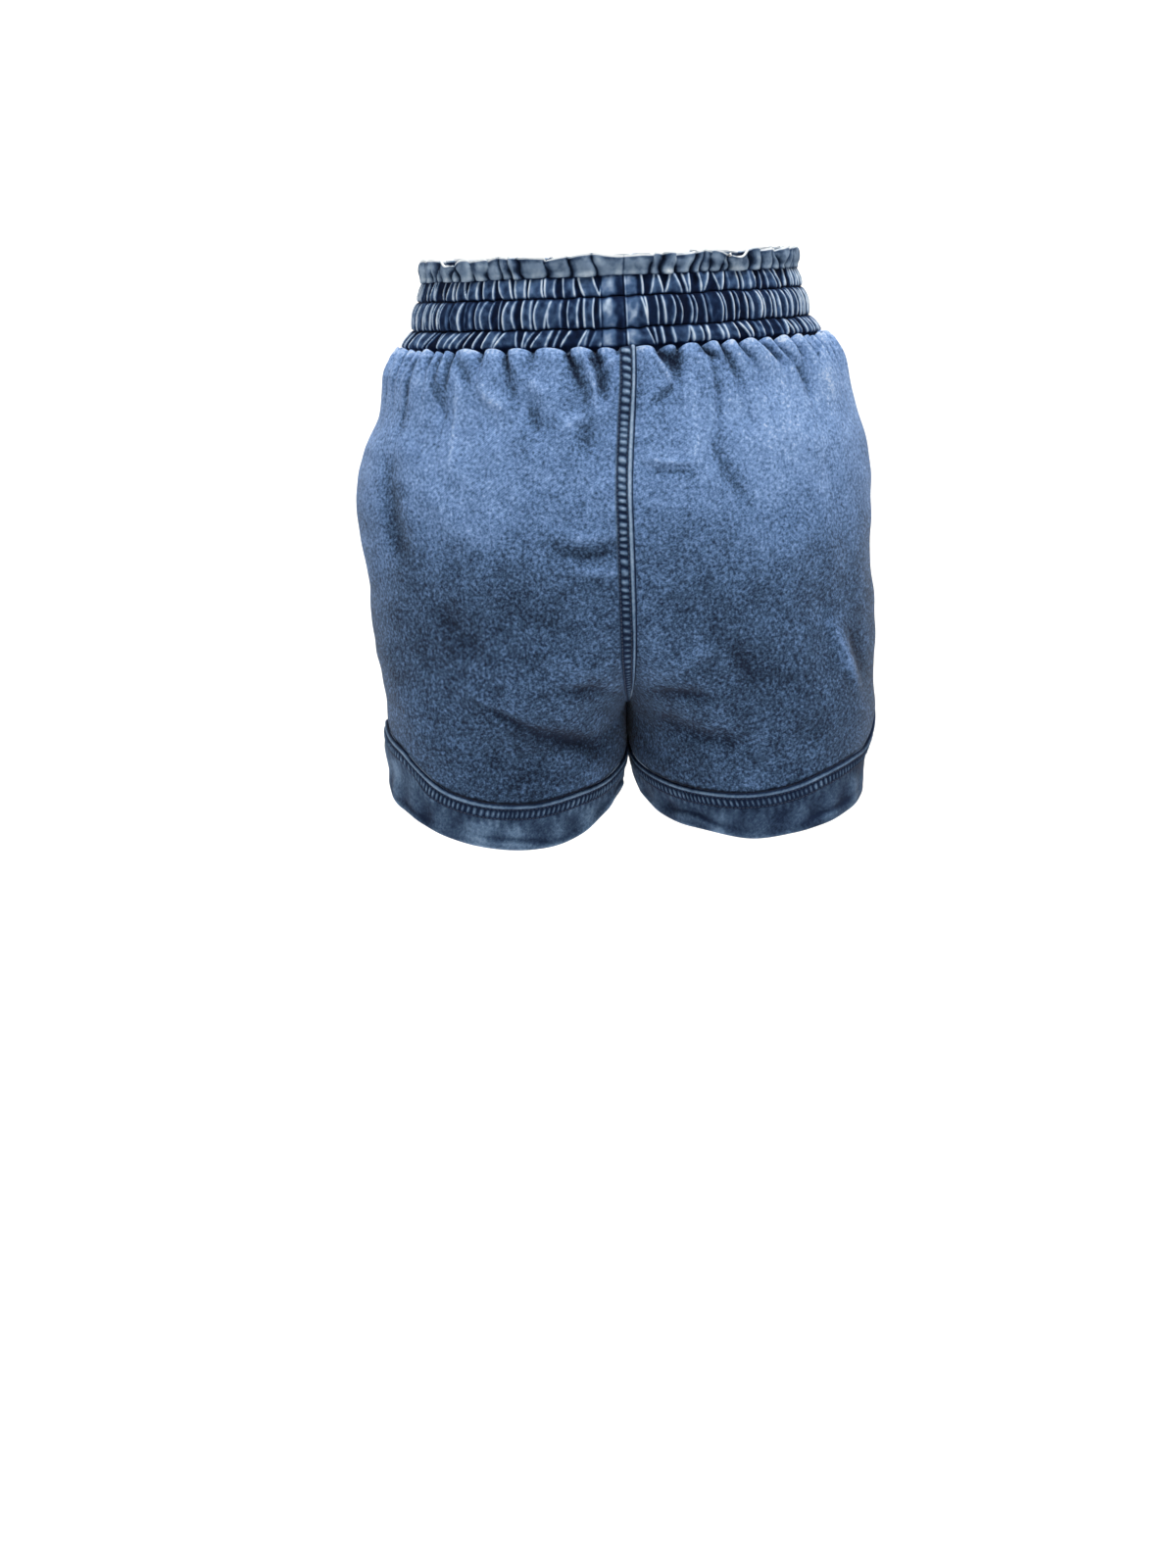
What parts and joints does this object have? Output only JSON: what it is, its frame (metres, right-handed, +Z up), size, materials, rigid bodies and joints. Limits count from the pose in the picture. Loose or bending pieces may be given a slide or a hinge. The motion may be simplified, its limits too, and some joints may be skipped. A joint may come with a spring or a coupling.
{
  "type": "denim shorts",
  "caption": "Pull-on light blue denim shorts in worn form: ruffled gathered waistband, smooth back with a felled centre seam, curved hem bands that rise at the side seams.",
  "frame": {"origin": "middle of the gathered waistband, on the body's axis, where the elastic grips the wearer's waist", "axes": "+X to the wearer's right, +Y to the wearer's front, +Z up"},
  "size_m": [0.4164, 0.2992, 0.4681],
  "materials": {
    "gathered_denim": "indigo cotton denim, gathered, pale on the worn crests and dark in the valleys",
    "body_denim": "light blue washed cotton denim, fine twill, matt",
    "hem_denim": "light blue washed cotton denim, folded double, pale at the worn edges, matt"
  },
  "bodies": {
    "root": {"waistband": "gathered_denim", "back_panel_left": "body_denim", "back_panel_right": "body_denim", "front_panel_left": "body_denim", "front_panel_right": "body_denim", "hem_band_back_left": "hem_denim", "hem_band_back_right": "hem_denim", "hem_band_front_left": "hem_denim", "hem_band_front_right": "hem_denim"}
  },
  "joints": []
}
